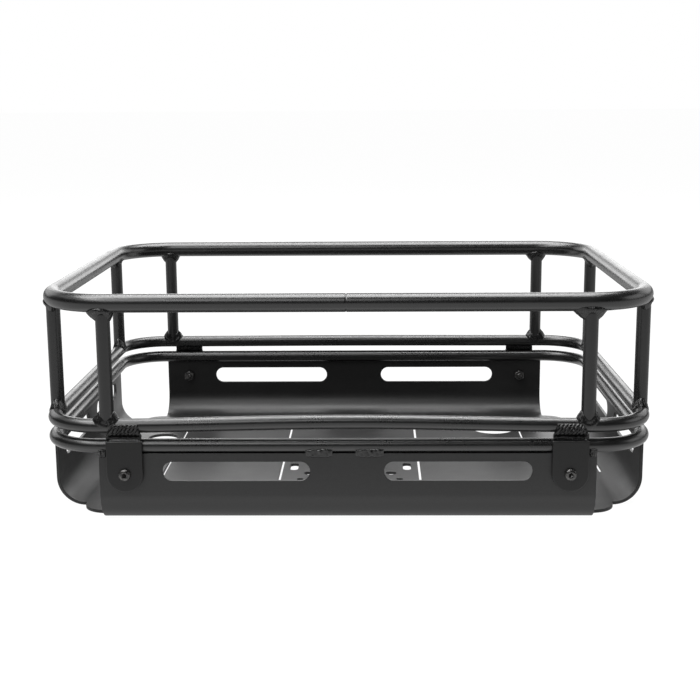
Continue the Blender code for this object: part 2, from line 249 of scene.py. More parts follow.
def sheet_shape(outline, holes, lines, us, vs, place, edge_r=EDGE_R):
    """A folded sheet with softened edges. place(u, v) says where a point of the blank's
    middle surface goes, and which way the blank's two axes run there."""
    loops = [rim_of(outline if area(outline) > 0 else outline[::-1], us, vs, edge_r)]
    loops += [rim_of(hole if area(hole) < 0 else hole[::-1], us, vs, edge_r) for hole in holes]
    shape = Shape()
    half = SHEET / 2
    rounding = [QUARTER * i / EDGE_STEPS for i in range(EDGE_STEPS + 1)]
    levels = [(edge_r * (1 - math.sin(a)), half - edge_r * (1 - math.cos(a)), a) for a in rounding]
    levels += [(inset, -w, math.pi - a) for inset, w, a in reversed(levels)]
    normals = []

    def add(u, v, w, out, angle):
        at, along_u, along_v = place(u, v)
        up = along_u.cross(along_v)
        normal = up * math.cos(angle)
        if out is not None:
            normal += (along_u * out.x + along_v * out.y) * math.sin(angle)
        normals.append(tuple(normal.normalized()))
        return shape.add([at + up * w])[0]

    flat_points, flat_edges, top_of, bottom_of = [], [], {}, {}
    for loop in loops:
        rows = []
        for inset, w, angle in levels:
            moved = [(at - way * inset, way.normalized()) for at, way in loop]
            rows.append([add(at.x, at.y, w, out, angle) for at, out in moved])
        first, count = len(flat_points), len(loop)
        flat_points += [at - way * edge_r for at, way in loop]
        top_of.update({first + i: rows[0][i] for i in range(count)})
        bottom_of.update({first + i: rows[-1][i] for i in range(count)})
        flat_edges += [(first + i, first + (i + 1) % count) for i in range(count)]
        for high, low in zip(rows, rows[1:]):
            for i in range(count):
                j = (i + 1) % count
                shape.faces.append((low[i], low[j], high[j], high[i]))
    inner = [[tuple(flat_points[i]) for i in range(a, b)] for a, b in spans(loops)]
    for start, end in lines:
        flat_edges.append((len(flat_points), len(flat_points) + 1))
        flat_points += [Vector(start), Vector(end)]
    spots, _, triangles, origins, *_ = delaunay_2d_cdt(flat_points, flat_edges, [], 0, CUT_TOLERANCE)
    top, bottom = {}, {}
    for triangle in triangles:
        middle = sum((spots[i] for i in triangle), Vector((0, 0))) / 3
        if not inside(inner[0], *middle) or any(inside(hole, *middle) for hole in inner[1:]):
            continue
        for i in triangle:
            if i in top:
                continue
            known = [o for o in origins[i] if o in top_of]
            if known:
                top[i], bottom[i] = top_of[known[0]], bottom_of[known[0]]
            else:
                top[i] = add(spots[i].x, spots[i].y, half, None, 0.0)
                bottom[i] = add(spots[i].x, spots[i].y, -half, None, math.pi)
        a, b, c = (spots[i] for i in triangle)
        turned = (b - a).cross(c - a) < 0
        order = triangle[::-1] if turned else triangle
        shape.faces.append(tuple(top[i] for i in order))
        shape.faces.append(tuple(bottom[i] for i in order[::-1]))
    shape.normals = normals
    return shape


def spans(loops):
    start = 0
    for loop in loops:
        yield start, start + len(loop)
        start += len(loop)


# --- materials -----------------------------------------------------------------------


class Nodes:
    """A few short cuts for writing a node tree."""

    def __init__(self, tree):
        self.tree = tree

    def new(self, kind, **settings):
        node = self.tree.nodes.new(kind)
        for key, value in settings.items():
            if key in node.inputs:
                self.feed(value, node.inputs[key])
            else:
                setattr(node, key, value)
        return node

    def feed(self, value, socket):
        if isinstance(value, bpy.types.NodeSocket):
            self.tree.links.new(value, socket)
        else:
            socket.default_value = value

    def noise(self, where, scale, detail=2.0, roughness=0.5):
        node = self.new("ShaderNodeTexNoise", Vector=where, Scale=scale, Detail=detail, Roughness=roughness)
        return node.outputs["Fac"]

    def remap(self, value, low, high, to_low, to_high):
        node = self.new("ShaderNodeMapRange")
        keys = ("Value", "From Min", "From Max", "To Min", "To Max")
        for key, given in zip(keys, (value, low, high, to_low, to_high)):
            self.feed(given, node.inputs[key])
        return node.outputs["Result"]

    def maths(self, operation, a, b):
        node = self.new("ShaderNodeMath", operation=operation)
        self.feed(a, node.inputs[0])
        self.feed(b, node.inputs[1])
        return node.outputs[0]

    def bump(self, height, distance, normal=None):
        node = self.new("ShaderNodeBump", Height=height, Distance=distance)
        node.inputs["Strength"].default_value = 1.0
        if normal is not None:
            self.feed(normal, node.inputs["Normal"])
        return node.outputs["Normal"]

    def blend(self, share, low, high):
        node = self.new("ShaderNodeMix", data_type="RGBA")
        self.feed(share, node.inputs["Factor"])
        colours = [socket for socket in node.inputs if socket.type == "RGBA"]
        self.feed(low, colours[0])
        self.feed(high, colours[1])
        return [socket for socket in node.outputs if socket.type == "RGBA"][0]


def grey(value, warmth=0.0):
    return (value * (1 + warmth), value, value * (1 - warmth), 1.0)


# Noise scales, in cells to the metre, and bump heights in metres.
CLOUD_SCALE = 23.0
WAVE_SCALE = 95.0
GRAIN_SCALE = 620.0
FINE_SCALE = 1500.0
SPATTER_SCALE = 700.0
PATCH_SCALE = 420.0
TURNED_SCALE = 2600.0
WAVE_BUMP = 0.00006
TURNED_BUMP = 0.00003
# The fine grain's and the welds' bump heights, as shares of the orange peel's.
FINE_SHARE = 0.25
SPATTER_SHARE = 9
# How far the clouds and the grain push the roughness up and down.
CLOUD_GLOSS = 0.035
GRAIN_GLOSS = 0.02


def powder_coat(name, base, roughness, peel, shine, weld=False):
    """Satin black powder coat: fine orange peel over slow waves, with faint clouding in
    both colour and gloss, and specks where the powder sat thin."""
    material = bpy.data.materials.new(name)
    material.use_nodes = True
    n = Nodes(material.node_tree)
    shader = material.node_tree.nodes["Principled BSDF"]
    where = n.new("ShaderNodeTexCoord").outputs["Object"]
    cloud = n.noise(where, CLOUD_SCALE, 3.0)
    grain = n.noise(where, GRAIN_SCALE, 2.0)
    fine = n.noise(where, FINE_SCALE, 3.0, 0.6)
    wave = n.noise(where, WAVE_SCALE, 2.0)
    tone = n.maths("ADD", n.remap(cloud, 0.3, 0.7, 0.0, 0.6), n.remap(grain, 0.35, 0.65, -0.2, 0.4))
    colour = n.blend(n.remap(tone, 0.0, 1.0, 0.0, 1.0), grey(base * 0.78, -0.01), grey(base * 1.3))
    speck = n.remap(fine, 0.70, 0.78, 0.0, 0.35)
    colour = n.blend(speck, colour, grey(base * 5))
    n.feed(colour, shader.inputs["Base Color"])
    cloud_gloss = n.remap(cloud, 0.3, 0.7, -CLOUD_GLOSS, CLOUD_GLOSS)
    grain_gloss = n.remap(grain, 0.3, 0.7, -GRAIN_GLOSS, GRAIN_GLOSS)
    gloss = n.maths("ADD", cloud_gloss, grain_gloss)
    n.feed(n.maths("ADD", gloss, roughness), shader.inputs["Roughness"])
    normal = n.bump(wave, WAVE_BUMP)
    normal = n.bump(grain, peel, normal)
    normal = n.bump(fine, peel * FINE_SHARE, normal)
    if weld:
        normal = n.bump(n.noise(where, SPATTER_SCALE, 3.0, 0.6), peel * SPATTER_SHARE, normal)
    n.feed(normal, shader.inputs["Normal"])
    shader.inputs["Specular IOR Level"].default_value = shine
    return material


def plated_steel(name, base, roughness, metallic):
    """Black oxide or dark zinc: nearly bare metal with a faint turned grain."""
    material = bpy.data.materials.new(name)
    material.use_nodes = True
    n = Nodes(material.node_tree)
    shader = material.node_tree.nodes["Principled BSDF"]
    where = n.new("ShaderNodeTexCoord").outputs["Object"]
    patch = n.noise(where, PATCH_SCALE, 3.0)
    grain = n.noise(where, TURNED_SCALE, 2.0)
    share = n.remap(patch, 0.35, 0.65, 0.0, 1.0)
    n.feed(n.blend(share, grey(base * 0.7), grey(base * 1.5, 0.02)), shader.inputs["Base Color"])
    n.feed(n.remap(patch, 0.3, 0.7, roughness - 0.07, roughness + 0.09), shader.inputs["Roughness"])
    shader.inputs["Metallic"].default_value = metallic
    n.feed(n.bump(grain, TURNED_BUMP), shader.inputs["Normal"])
    return material


def weld_skin(name, base, roughness, peel, shine):
    """The same coat over weld metal, which is spattered and ripples finely."""
    return powder_coat(name, base, roughness, peel, shine, weld=True)


rail_coat = powder_coat("rail_powder_coat", base=0.008, roughness=0.29, peel=0.000004, shine=0.98)
post_coat = powder_coat("post_powder_coat", base=0.008, roughness=0.30, peel=0.000006, shine=0.8)
tray_coat = powder_coat("tray_powder_coat", base=0.012, roughness=0.42, peel=0.00002, shine=0.68)
tab_coat = powder_coat("tab_powder_coat", base=0.008, roughness=0.38, peel=0.00002, shine=0.48)
weld_coat = weld_skin("weld_powder_coat", base=0.008, roughness=0.24, peel=0.000016, shine=0.7)
tab_weld_coat = weld_skin("tab_weld_powder_coat", base=0.005, roughness=0.20, peel=0.000012, shine=0.5)
screw_finish = plated_steel("screw_black_oxide", base=0.10, roughness=0.27, metallic=0.85)
nut_finish = plated_steel("nut_dark_zinc", base=0.12, roughness=0.36, metallic=0.85)


# --- fence ---------------------------------------------------------------------------


class Ring:
    """A closed ring of tube, read from its node's box."""

    def __init__(self, node, corner_r, tube_r=None, back_crown=0.0):
        lo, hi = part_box(node)
        self.r = tube_r or (hi.z - lo.z) / 2
        self.z = lo.z + self.r
        self.half = (hi.x - self.r, hi.y - self.r)
        self.crowns = (hi.z - lo.z - 2 * self.r, back_crown)
        self.corner_r = corner_r

    def height(self, x, y):
        half = self.half[0] - self.corner_r
        crown = self.crowns[0] if y < 0 else self.crowns[1]
        if abs(x) >= half or abs(y) < self.half[1] - self.corner_r:
            return self.z
        return self.z + crown * (1 + math.cos(math.pi * x / half)) / 2

    def centreline(self, run_stops):
        """Points with their tangents. run_stops gives the stops along a front or back run."""
        straight = [self.half[i] - self.corner_r for i in (0, 1)]
        flat = []
        for quarter, (sx, sy) in enumerate([(1, 1), (-1, 1), (-1, -1), (1, -1)]):
            start = quarter * QUARTER
            centre = (sx * straight[0], sy * straight[1])
            for i in range(CORNER_STEPS + 1):
                a = start + QUARTER * i / CORNER_STEPS
                spot = (centre[0] + self.corner_r * math.cos(a), centre[1] + self.corner_r * math.sin(a))
                flat.append((spot, (-math.sin(a), math.cos(a))))
            if quarter % 2 == 0:
                flat += [((sx * x, sy * self.half[1]), (-sx, 0)) for x in run_stops(straight[0])]
        return [(Vector((x, y, self.height(x, y))), Vector((tx, ty, 0))) for (x, y), (tx, ty) in flat]


SEAM_HALF = 0.0009
SEAM_DEPTH = 0.00040


def even_stops(count):
    return lambda half: [half * (1 - 2 * i / count) for i in range(1, count)]


def seam_stops(half):
    """Stops that leave room for a narrow groove in the middle of the run."""
    near = [SEAM_HALF * 1.6, SEAM_HALF, SEAM_HALF * 0.5, 0.0]
    far = [half * (1 - i / 12) for i in range(1, 12)]
    stops = far + near
    return stops + [-x for x in reversed(stops) if x > 0]


def ring_shape(ring, run_stops, seam=False):
    line = ring.centreline(run_stops)
    sections = []
    for at, tangent in line:
        side = tangent.cross(UP).normalized()
        radius = ring.r
        if seam and at.y < 0 and abs(at.x) < SEAM_HALF * 0.9:
            radius -= SEAM_DEPTH * (1 - abs(at.x) / SEAM_HALF)
        ups = [2 * math.pi * i / TUBE_SIDES for i in range(TUBE_SIDES)]
        sections.append([at + radius * (side * math.cos(a) + UP * math.sin(a)) for a in ups])
    shape = Shape()
    shape.skin([section[::-1] for section in sections], ring=True)
    return shape


rim = Ring("rim_rail", LOW_CORNER_R)
mid = Ring("mid_rail", LOW_CORNER_R, tube_r=rim.r, back_crown=BACK_CROWN)
top = Ring("top_rail", TOP_CORNER_R)

for ring_node, ring_mesh in (
    ("top_rail", ring_shape(top, seam_stops, seam=True)),
    ("mid_rail", ring_shape(mid, even_stops(48))),
    ("rim_rail", ring_shape(rim, even_stops(2))),
):
    piece(ring_mesh, ring_node + "_tube", rail_coat, "rail_coat", ring_node, sharp_deg=None)


class Joint:
    """Where a post meets a rail: the post's centre, which way the rail runs there, and
    whether the rail is above the post (+1) or below it (-1)."""

    def __init__(self, x, y, along, ring, above, post_r):
        self.x, self.y, self.along, self.above = x, y, along, above
        self.across = Vector((-along.y, along.x, 0))
        self.rail_r, self.post_r = ring.r, post_r
        self.rail_z = ring.height(x, y)

    def on_rail(self, a, s):
        """A point on the rail: a along it, and s round it from the line nearest the post."""
        turn = s / self.rail_r
        flat = self.along * a + self.across * self.rail_r * math.sin(turn)
        return Vector((self.x, self.y, self.rail_z - self.above * self.rail_r * math.cos(turn))) + flat

    def contact(self, angle, radius):
        """Where the line up the post's surface at this angle meets the rail: (a, s)."""
        b = max(-1.0, min(1.0, radius * math.sin(angle) / self.rail_r))
        return radius * math.cos(angle), self.rail_r * math.asin(b)


# How far a post's ends are let into the rails, and the shares of its length where its mesh
# has a row of points.
LET_IN = 0.0004
POST_ROWS = (0, 0.05, 0.5, 0.95, 1)


def post_shape(low, high):
    """A tube with both ends coped to the rails, and let into them by a hair."""
    ends = []
    for joint in (low, high):
        row = []
        for i in range(TUBE_SIDES):
            angle = 2 * math.pi * i / TUBE_SIDES
            a, s = joint.contact(angle, joint.post_r)
            spot = joint.on_rail(a, s)
            flat = joint.along * a + joint.across * joint.post_r * math.sin(angle)
            row.append(Vector((joint.x + flat.x, joint.y + flat.y, spot.z + joint.above * LET_IN)))
        ends.append(row)
    shape = Shape()
    levels = [[a.lerp(b, t) for a, b in zip(*ends)] for t in POST_ROWS]
    shape.skin(levels, ring=False)
    return shape


COLLAR_STEPS = 132
COLLAR_ROWS = 12
COLLAR_PITCH = 0.0019
# The mean leg along the rail and up the post at the post's two sides, and how much they vary.
COLLAR_REACH = 0.0050
REACH_SPREAD = 0.0022
COLLAR_CLIMB = 0.0068
CLIMB_SPREAD = 0.0012
# How far the welds at two posts' heads reach along the rail, to their left and right.
HEAD_REACH = {"post_front_left": (0.0072, 0.0036), "post_front_right": (0.0092, 0.0066)}
# The weld's legs along the rail and up the post, straight in front of the post, at its head
# and at its foot.
NARROW_LEG = {1: (0.0020, 0.0030), -1: (0.0042, 0.0034)}
# A weld rounds off the point of a cope: it is laid as if the post were no thicker than this
# share of the rail.
COPE_SHARE = 0.92
# How far the bead stands proud near its toe, at the post's head and at its foot. It is
# proudest straight in front of the post and straight behind it.
BEAD_ROLL = {1: 0.0018, -1: 0.0011}
ROLL_MIDDLE, ROLL_WIDTH = 0.25, 0.17
LAID_LUMP = 0.00050
BURIED_ROOT = 0.0012
BURIED_EDGE = 0.0005
WELD_SHARP = 55


def wobble(x, y, z):
    return noise.noise(Vector((x, y, z)))


def dimes(phase):
    """Overlapping round lumps, from 0 in the valley between two to 1 on a lump."""
    share = phase % 1.0
    return math.sqrt(max(0.0, 1 - (2 * share - 1) ** 2))


def collar_lift(joint, seed, angle, ripples, t):
    """How far the fillet's skin stands off its slanted flat, from its toe on the rail at
    t = 0 to its root on the post at t = 1."""
    c, s = math.cos(angle), math.sin(angle)
    crest = math.sin(math.pi * t)
    phase = ripples * angle / (2 * math.pi) + 0.9 * t + 0.4 * wobble(c * 3 + seed, s * 3, t * 2)
    roll = math.exp(-((t - ROLL_MIDDLE) / ROLL_WIDTH) ** 2) * (1 - t)
    lift = 0.00012 + (0.00012 + 0.00026 * s * s) * crest
    lift += LAID_LUMP * (dimes(phase) - 0.7) * crest ** 0.5
    lift += BEAD_ROLL[joint.above] * s * s * roll
    lift += 0.00026 * wobble(c * 5 + seed, s * 5, t * 3) * crest
    lift += 0.00012 * wobble(c * 14 + seed, s * 14, t * 7) * crest
    return lift


def collar_sections(joint, seed, reach):
    """The fillet weld round the joint: flat sides that slant from rail to post, an uneven
    toe and laid ripples. reach is its leg along the rail on the low and the high side."""
    sections = []
    ripples = round(2 * math.pi * (joint.post_r + 0.002) / COLLAR_PITCH)
    climb = [COLLAR_CLIMB + CLIMB_SPREAD * wobble(seed, side * 3.1, 7.5) for side in (0, 1)]
    away = Vector((0, 0, -joint.above))
    for i in range(COLLAR_STEPS):
        angle = 2 * math.pi * i / COLLAR_STEPS
        c, s = math.cos(angle), math.sin(angle)
        side = 0 if c < 0 else 1
        ragged = 0.0005 * wobble(c * 2.2 + seed, s * 2.2, 1.0)
        ragged += 0.0003 * wobble(c * 7 + seed, s * 7, 2.0)
        rail_leg, post_leg = NARROW_LEG[joint.above]
        leg_rail = rail_leg + (reach[side] - rail_leg) * c * c + ragged
        leg_post = post_leg + (climb[side] - post_leg) * c * c + ragged
        ca = joint.post_r * c
        cs = joint.contact(angle, min(joint.post_r, joint.rail_r * COPE_SHARE))[1]
        toe = joint.on_rail(ca + leg_rail * c, cs + leg_rail * s)
        corner = joint.on_rail(ca, cs)
        radial = joint.along * c + joint.across * s
        out = (radial + away).normalized()
        root = Vector((joint.x, joint.y, corner.z)) + radial * joint.post_r + away * leg_post
        axis = Vector((joint.x, joint.y, joint.rail_z)) + joint.along * (ca + leg_rail * c)
        rail_out = (toe - axis).normalized()
        section = [corner - out * BURIED_ROOT, toe - rail_out * BURIED_EDGE]
        for k in range(COLLAR_ROWS + 1):
            t = k / COLLAR_ROWS
            crest = math.sin(math.pi * t)
            lift = collar_lift(joint, seed, angle, ripples, t)
            edge_out = rail_out if t < 0.5 else radial
            section.append(toe.lerp(root, t) + (out * crest + edge_out * (1 - crest)) * lift)
        section.append(root - radial * BURIED_EDGE)
        sections.append(section if joint.above > 0 else section[::-1])
    return sections


def add_post(node, along):
    """The post, and the welds at its foot and its head. along is the way the rails run there."""
    lo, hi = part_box(node)
    x, y, post_r = (lo.x + hi.x) / 2, (lo.y + hi.y) / 2, (hi.x - lo.x) / 2
    low = Joint(x, y, along, mid, -1, post_r)
    high = Joint(x, y, along, top, 1, post_r)
    piece(post_shape(low, high), node + "_tube", post_coat, "post_coat", node, sharp_deg=None)
    for joint, label in ((low, "foot"), (high, "head")):
        seed = 370 * x + 130 * y + (5.0 if joint is high else 0.0)
        sway = [wobble(seed, way * 3.1, 0.5) for way in (0, 1)]
        reach = [COLLAR_REACH + REACH_SPREAD * part for part in sway]
        if joint is high:
            reach = HEAD_REACH.get(node, reach)
        shape = Shape()
        shape.skin(collar_sections(joint, seed, reach), ring=True)
        piece(shape, f"{node}_{label}_weld", weld_coat, "post_coat", sharp_deg=WELD_SHARP)


for end in ENDS:
    for side in SIDES:
        add_post(f"post_{end}_{side}", Vector((1, 0, 0)))
        add_post(f"post_{side}_{end}", Vector((0, 1, 0)))


# --- tray ----------------------------------------------------------------------------

tray_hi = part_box("tray_sheet")[1]
BEND_R = BEND_OUTER_R - SHEET / 2
BEND_RUN = BEND_R * QUARTER
FLAT_HALF = (tray_hi.x - BEND_OUTER_R, tray_hi.y - BEND_OUTER_R)


def fold(distance, flat, radius, most):
    """How far out and how high a point of the blank ends up, and the turn there."""
    run = abs(distance) - flat
    if run <= 0:
        return abs(distance), 0.0, 0.0
    turn = min(run / radius, most)
    beyond = max(run - radius * most, 0.0)
    out = flat + radius * math.sin(turn) + beyond * math.cos(turn)
    return out, radius * (1 - math.cos(turn)) + beyond * math.sin(turn), turn


def place_on_tray(u, v):
    sx, sy = math.copysign(1, u), math.copysign(1, v)
    x, rise_x, turn_x = fold(u, FLAT_HALF[0], BEND_R, QUARTER)
    y, rise_y, turn_y = fold(v, FLAT_HALF[1], BEND_R, QUARTER)
    at = Vector((sx * x, sy * y, SHEET / 2 + rise_x + rise_y))
    along_u = Vector((math.cos(turn_x), 0, sx * math.sin(turn_x)))
    return at, along_u, Vector((0, math.cos(turn_y), sy * math.sin(turn_y)))


def blank_reach(axis, height):
    return FLAT_HALF[axis] + BEND_RUN + height - BEND_OUTER_R


def end_outline(end):
    """Half of the blank's outline, from the right flange round the front or back one to the
    left flange, drawn as if it lay at +Y."""
    far_x, far_y = (blank_reach(axis, tray_hi.z + SEATED[axis]) for axis in (0, 1))
    long_half = LONG_FLANGE_HALF[end]
    centre = (long_half + FLOOR_CORNER_STEP, SHORT_FLANGE_HALF + FLOOR_CORNER_STEP)
    quarter = [(far_x, SHORT_FLANGE_HALF), (centre[0] + FLOOR_CORNER_R, SHORT_FLANGE_HALF)]
    quarter += arc(centre, FLOOR_CORNER_R, 0, QUARTER, HOLE_STEPS // 4)
    quarter += [(long_half, centre[1] + FLOOR_CORNER_R), (long_half, far_y)]
    return quarter + [(-x, y) for x, y in reversed(quarter)]


def tray_outline():
    return soften(end_outline("back") + [(-x, -y) for x, y in end_outline("front")], CORNER_R)


def tray_holes():
    loops = [circle(*hole) for hole in ROUND_HOLES]
    bolt_lo, bolt_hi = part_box("screw_front_left")
    bolt = (bolt_lo + bolt_hi) / 2
    short_length = SHORT_SLOT[1] - SHORT_SLOT[0]
    for side in SIDES.values():
        for end, sy in ENDS.items():
            near, far = LONG_SLOT[end]
            across = sy * blank_reach(1, LONG_SLOT_Z[end])
            loops.append(slot_loop(side * (near + far) / 2, across, far - near, SLOT_HEIGHT, True))
            middle = sy * sum(SHORT_SLOT) / 2
            out = side * blank_reach(0, SHORT_SLOT_Z)
            loops.append(slot_loop(out, middle, short_length, SLOT_HEIGHT, False))
            loops.append(circle(side * bolt.x, sy * blank_reach(1, bolt.z), BOLT_HOLE_D))
        for x in SLIT_XS:
            loops.append(slot_loop(side * x, 0, 2 * SLIT_HALF_LENGTH, SLIT_WIDTH, False))
        x, y, length = END_SLIT
        loops.append(slot_loop(side * x, y, length, SLIT_WIDTH, False))
        x, y, length, width = STRAP_SLOT
        loops.append(slot_loop(side * x, y, length, width, False))
    return loops


def add_tray():
    runs = [BEND_RUN * i / BEND_STEPS for i in range(BEND_STEPS + 1)]
    us = [s * (FLAT_HALF[0] + run) for run in runs for s in (-1, 1)]
    vs = [s * (FLAT_HALF[1] + run) for run in runs for s in (-1, 1)]
    beyond = 0.001
    lines = [((u, -SHORT_FLANGE_HALF - beyond), (u, SHORT_FLANGE_HALF + beyond)) for u in us]
    long_half = max(LONG_FLANGE_HALF.values()) + beyond
    lines += [((-long_half, v), (long_half, v)) for v in vs]
    shape = sheet_shape(tray_outline(), tray_holes(), lines, us, vs, place_on_tray)
    piece(shape, "tray_body", tray_coat, "tray_coat", "tray_sheet")


add_tray()


# --- tabs, screws and nuts -----------------------------------------------------------


def add_tab(name, sy):
    """A flat strip, round at the bolt. Its square top end is a ledge under the weld."""
    lo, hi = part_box(name)
    half = (hi.x - lo.x) / 2
    middle_x = (hi.x + lo.x) / 2
    middle_y = (lo.y if sy < 0 else hi.y) - sy * SHEET / 2
    bolt_z = lo.z + half

    def place(u, v):
        return Vector((middle_x - sy * u, middle_y, v)), Vector((-sy, 0, 0)), Vector((0, 0, 1))

    outline = arc((0, bolt_z), half, 2 * QUARTER, 4 * QUARTER, HOLE_STEPS)
    outline = soften(outline + [(half, TAB_SHOULDER_Z), (-half, TAB_SHOULDER_Z)], CORNER_R)
    shape = sheet_shape(outline, [circle(0, bolt_z, BOLT_HOLE_D)], [], [], [], place, TAB_EDGE_R)
    piece(shape, name + "_plate", tab_coat, "tab_coat", name)


def hexagon_reach(angle, flats):
    return flats / 2 / math.cos((angle + math.pi / 6) % (math.pi / 3) - math.pi / 6)


FASTENER_STEPS = 72
THREAD_PITCH = 0.001
THREAD_DEPTH = 0.00045
THREAD_ROWS = 70
# The thread starts this far under the head, ends this far from the tip, and runs out over a
# short length at both.
THREAD_START, THREAD_END = 0.0012, 0.0004
THREAD_RUN_IN, THREAD_RUN_OUT = 0.0008, 0.0006
SOCKET_CONE = 0.0015
# The head's flat top as a share of its radius, its straight rim as a share of its height, and
# the rows of points on the dome between them.
HEAD_FLAT = 0.50
HEAD_RIM = 0.27
DOME_ROWS = 8
# The nut's flat face as a share of its size over the flats, and the slope of its chamfer.
NUT_FACE = 0.95
NUT_CHAMFER = math.radians(30)
FASTENER_SHARP = 32
# The radius of the sections' first and last points, next to the axis.
AXIS_R = 0.00001


def screw_section(angle, head_r, head_h, length):
    """From the middle of the socket's floor out over the head and down to the tip."""
    socket = hexagon_reach(angle, SOCKET_FLATS)
    floor = head_h - SOCKET_DEPTH
    flat_r = head_r * HEAD_FLAT
    section = [(AXIS_R, floor - SOCKET_CONE), (socket * 0.94, floor), (socket, floor + 0.0001)]
    section += [(socket, head_h - 0.00022), (SOCKET_FLATS * 0.60, head_h - 0.00004), (flat_r, head_h)]
    rim = head_h * HEAD_RIM
    for i in range(1, DOME_ROWS + 1):
        a = QUARTER * (1 - i / DOME_ROWS)
        section.append((flat_r + (head_r - flat_r) * math.cos(a), rim + (head_h - rim) * math.sin(a)))
    shank_r = SHANK_D / 2
    section += [(head_r, rim * 0.3), (head_r - 0.0002, 0.0), (shank_r + 0.0002, 0.0), (shank_r, -0.0002)]
    start, end = -THREAD_START, -length + THREAD_END
    for i in range(THREAD_ROWS + 1):
        z = start + (end - start) * i / THREAD_ROWS
        share = abs(((z / THREAD_PITCH - angle / (2 * math.pi)) % 1.0) * 2 - 1)
        fade = min(1.0, (start - z) / THREAD_RUN_IN, (z - end) / THREAD_RUN_OUT + 0.3)
        section.append((shank_r - THREAD_DEPTH * max(0.0, fade) * share, z))
    return section + [(shank_r - 0.0006, -length), (AXIS_R, -length)]


def nut_section(angle, flats, height):
    """Once round the nut's metal, from the bore over the outer face and back."""
    bore = NUT_BORE_D / 2
    hexagon = hexagon_reach(angle, flats)
    flat_r = flats / 2 * NUT_FACE
    half = height / 2
    edge = half - (hexagon - flat_r) * math.tan(NUT_CHAMFER)
    upper = [(bore, half - 0.0005), (bore + 0.0004, half), (flat_r, half)]
    upper += [((flat_r + hexagon) / 2, (half + edge) / 2)]
    upper += [(hexagon - 0.00008, edge), (hexagon, edge - 0.0001)]
    return upper + [(r, -z) for r, z in reversed(upper)]


def add_turned(node, section_at, centre, sy, material, slot):
    """A fastener round the Y axis through its centre, with its outer end towards sy.
    section_at(angle) gives its section there as (radius, height) pairs."""
    sections = []
    for i in range(FASTENER_STEPS):
        angle = 2 * math.pi * i / FASTENER_STEPS
        c, s = math.cos(angle), math.sin(angle)
        pairs = section_at(angle)
        sections.append([(centre.x - sy * r * c, centre.y + sy * h, centre.z + r * s) for r, h in pairs])
    shape = Shape()
    shape.skin(sections, ring=True)
    piece(shape, node + "_turned", material, slot, node, sharp_deg=FASTENER_SHARP)


def add_screw(end, sy, side):
    node = f"screw_{end}_{side}"
    lo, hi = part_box(node)
    tab_lo, tab_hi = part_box(f"tab_{end}_{side}")
    seat = tab_lo.y if sy < 0 else tab_hi.y
    head_r, head_h = (hi.x - lo.x) / 2, (seat - lo.y if sy < 0 else hi.y - seat)
    reach = hi.y - lo.y - head_h
    centre = Vector(((lo.x + hi.x) / 2, seat, (lo.z + hi.z) / 2))

    def section_at(angle):
        return screw_section(angle, head_r, head_h, reach)

    add_turned(node, section_at, centre, sy, screw_finish, "screw_finish")


def add_nut(end, sy, side):
    node = f"nut_{end}_{side}"
    lo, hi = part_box(node)
    flats, height = min(hi.x - lo.x, hi.z - lo.z), hi.y - lo.y

    def section_at(angle):
        return nut_section(angle, flats, height)

    add_turned(node, section_at, (lo + hi) / 2, sy, nut_finish, "nut_finish")


# --- weld beads on flat joints --------------------------------------------------------


def bead_shape(point, fineness, away, depth, reverse):
    """A closed lump whose skin is point(s, t) over s and t in 0..1, in so many columns and
    rows. Its hidden back lies depth under it, against the direction away. reverse turns the
    faces about, for a skin that would face inward."""
    columns, rows = fineness
    sections = []
    for i in range(columns + 1):
        front = [point(i / columns, k / rows) for k in range(rows + 1)]
        section = front + [front[-1] - away * depth, front[0] - away * depth]
        sections.append(section[::-1] if reverse else section)
    shape = Shape()
    shape.skin(sections, ring=False)
    return shape


BEAD_SHARP = 60


# The share of the tab weld's height that its bead takes, how proud the bead is, and how deep
# the hollow below it.
BEAD_SHARE = 0.62
BEAD_PROUD = 0.0016
HOLLOW_DEPTH = 0.0018
# The bead's ripples: their spacing along X, how far they lean and how high they stand.
RIPPLE_PITCH = 0.0033
RIPPLE_LEAN = 0.75
RIPPLE_HEIGHT = 0.0013
RIPPLE_RISE = 0.3
# The weld's upper toe over the rail's axis, its overlap with the tab, and its depth.
TOE_RISE = 0.0026
WELD_OVERLAP = 0.0008
WELD_DEPTH = 0.0022
TAB_WELD_FINENESS = (110, 36)


def tab_weld_profile(t):
    """How far the tab's weld stands off the rail's front, from its upper toe at t = 0 down
    to the ledge at t = 1: a proud bead over a rough hollow."""
    if t < BEAD_SHARE:
        return BEAD_PROUD * math.sin(math.pi * t / BEAD_SHARE) ** 0.7
    return -HOLLOW_DEPTH * math.sin(math.pi * (t - BEAD_SHARE) / (1 - BEAD_SHARE))


def ripple(phase):
    """A laid ripple: a steep rise to its crest, and a long fall behind it."""
    share = phase % 1.0
    return share / RIPPLE_RISE if share < RIPPLE_RISE else (1 - share) / (1 - RIPPLE_RISE)


